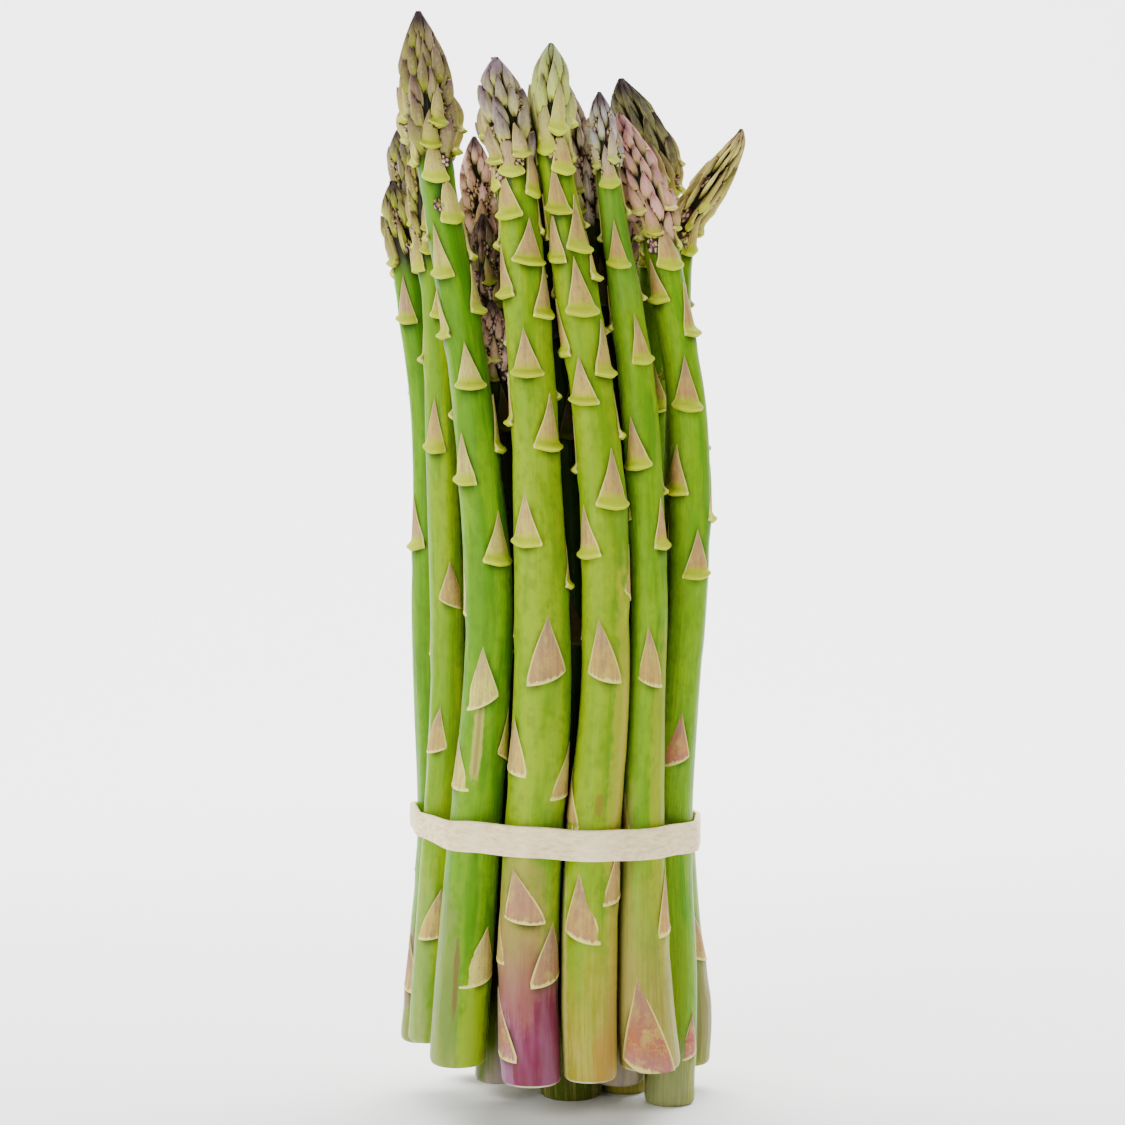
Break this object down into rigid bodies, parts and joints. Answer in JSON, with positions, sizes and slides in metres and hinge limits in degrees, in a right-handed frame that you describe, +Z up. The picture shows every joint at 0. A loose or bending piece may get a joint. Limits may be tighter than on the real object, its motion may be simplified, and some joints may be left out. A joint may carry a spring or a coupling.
{
  "type": "bundle of asparagus",
  "caption": "Upright bundle of fresh green asparagus spears with scaly pointed tips, standing on their cut ends and held together by one flat rubber band.",
  "frame": {"origin": "on the ground plane under the middle of the bundle, in the plane of the lowest cut ends", "axes": "+Z up along the spears, -Y towards the show side, +X to the right seen from the show side"},
  "size_m": [0.0738, 0.0601, 0.2212],
  "materials": {
    "green_skin": "satin",
    "bright_skin": "satin",
    "teal_skin": "satin",
    "olive_skin": "satin",
    "band_rubber": "matte"
  },
  "bodies": {
    "root": {"spear_left_tall": "green_skin", "spear_front_thick": "bright_skin", "spear_front_pale": "bright_skin", "spear_front_teal": "teal_skin", "spear_right_long": "bright_skin", "spear_left_middle": "green_skin", "spear_left_edge": "green_skin", "spear_right_leaning": "bright_skin", "spear_left_behind": "green_skin", "spear_right_behind": "teal_skin", "spear_inner_short": "olive_skin", "spear_inner_front": "green_skin", "spear_inner_right": "olive_skin", "spear_inner_left": "olive_skin", "spear_centre": "green_skin", "spear_inner_dark": "olive_skin", "spear_back_left": "green_skin", "spear_back_middle": "olive_skin", "spear_rear_left": "bright_skin", "spear_rear_right": "green_skin", "rubber_band": "band_rubber"}
  },
  "joints": []
}
